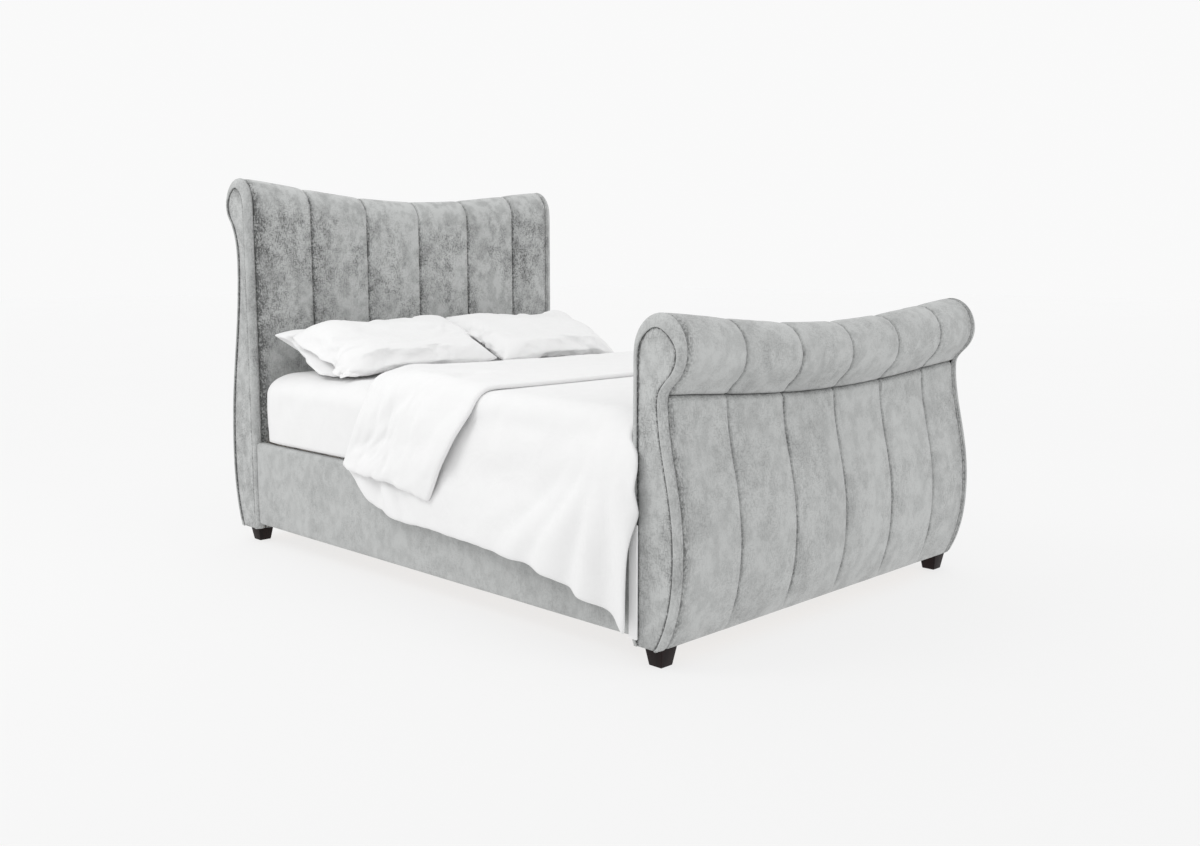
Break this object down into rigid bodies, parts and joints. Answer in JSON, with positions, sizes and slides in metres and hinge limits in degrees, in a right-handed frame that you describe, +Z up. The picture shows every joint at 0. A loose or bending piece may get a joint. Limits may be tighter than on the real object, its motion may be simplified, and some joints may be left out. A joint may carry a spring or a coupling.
{
  "type": "sleigh bed",
  "caption": "Upholstered sleigh bed: rolled, sagging headboard and footboard in channelled grey fabric, side rails, slatted base, square feet, and a mattress, duvet and pillows to sleep on.",
  "frame": {"origin": "on the floor under the middle of the bed", "axes": "+X across the bed to the right of someone lying on their back looking at the ceiling with the head at +Y, +Y from the foot to the head, +Z up"},
  "size_m": [1.6806, 2.377, 1.4311],
  "materials": {
    "grey_chenille": "matte",
    "joint_fabric": "matte",
    "white_cotton": "matte",
    "pine": "satin",
    "plywood": "matte",
    "dark_wood": "satin",
    "zinc_steel": "satin"
  },
  "bodies": {
    "bed_frame": {"centre_leg_foot": "pine", "centre_leg_head": "pine", "centre_rail": "pine", "centre_rail_hanger_foot": "zinc_steel", "centre_rail_hanger_head": "zinc_steel", "foot_foot_left": "dark_wood", "foot_foot_right": "dark_wood", "foot_head_left": "dark_wood", "foot_head_right": "dark_wood", "footboard_base_rail": "pine", "footboard_belly_pad": "grey_chenille", "footboard_facing_left": "grey_chenille", "footboard_facing_right": "grey_chenille", "footboard_middle_rail": "pine", "footboard_rib_centre": "plywood", "footboard_rib_left": "plywood", "footboard_rib_right": "plywood", "footboard_roll_pad": "grey_chenille", "footboard_roll_rail": "pine", "headboard_base_rail": "pine", "headboard_belly_pad": "grey_chenille", "headboard_facing_left": "grey_chenille", "headboard_facing_right": "grey_chenille", "headboard_middle_rail": "pine", "headboard_rib_centre": "plywood", "headboard_rib_left": "plywood", "headboard_rib_right": "plywood", "headboard_roll_pad": "grey_chenille", "headboard_roll_rail": "pine", "joint_cover_left": "joint_fabric", "joint_cover_right": "joint_fabric", "rail_bracket_foot_left": "zinc_steel", "rail_bracket_foot_right": "zinc_steel", "rail_bracket_head_left": "zinc_steel", "rail_bracket_head_right": "zinc_steel", "side_rail_board_left": "pine", "side_rail_board_right": "pine", "side_rail_cover_left": "grey_chenille", "side_rail_cover_right": "grey_chenille", "slat_01": "pine", "slat_02": "pine", "slat_03": "pine", "slat_04": "pine", "slat_05": "pine", "slat_06": "pine", "slat_07": "pine", "slat_08": "pine", "slat_09": "pine", "slat_10": "pine", "slat_11": "pine", "slat_12": "pine", "slat_ledger_left": "pine", "slat_ledger_right": "pine"},
    "mattress": {"mattress": "white_cotton"},
    "duvet": {"duvet": "white_cotton"},
    "pillow_lower_left": {"pillow_lower_left": "white_cotton"},
    "pillow_lower_right": {"pillow_lower_right": "white_cotton"},
    "pillow_upper_left": {"pillow_upper_left": "white_cotton"},
    "pillow_upper_right": {"pillow_upper_right": "white_cotton"}
  },
  "joints": [
    {"name": "mattress_lift", "type": "slide", "parent": "bed_frame", "child": "mattress", "axis": [0, 0, 1], "range_m": [0, 1.1]},
    {"name": "duvet_lift", "type": "slide", "parent": "mattress", "child": "duvet", "axis": [0, 0, 1], "range_m": [0, 0.9]},
    {"name": "pillow_lower_left_lift", "type": "slide", "parent": "mattress", "child": "pillow_lower_left", "axis": [0, 0, 1], "range_m": [0, 0.35]},
    {"name": "pillow_lower_right_lift", "type": "slide", "parent": "mattress", "child": "pillow_lower_right", "axis": [0, 0, 1], "range_m": [0, 0.35]},
    {"name": "pillow_upper_left_lift", "type": "slide", "parent": "pillow_lower_left", "child": "pillow_upper_left", "axis": [0, 0, 1], "range_m": [0, 0.25]},
    {"name": "pillow_upper_right_lift", "type": "slide", "parent": "pillow_lower_right", "child": "pillow_upper_right", "axis": [0, 0, 1], "range_m": [0, 0.25]}
  ]
}
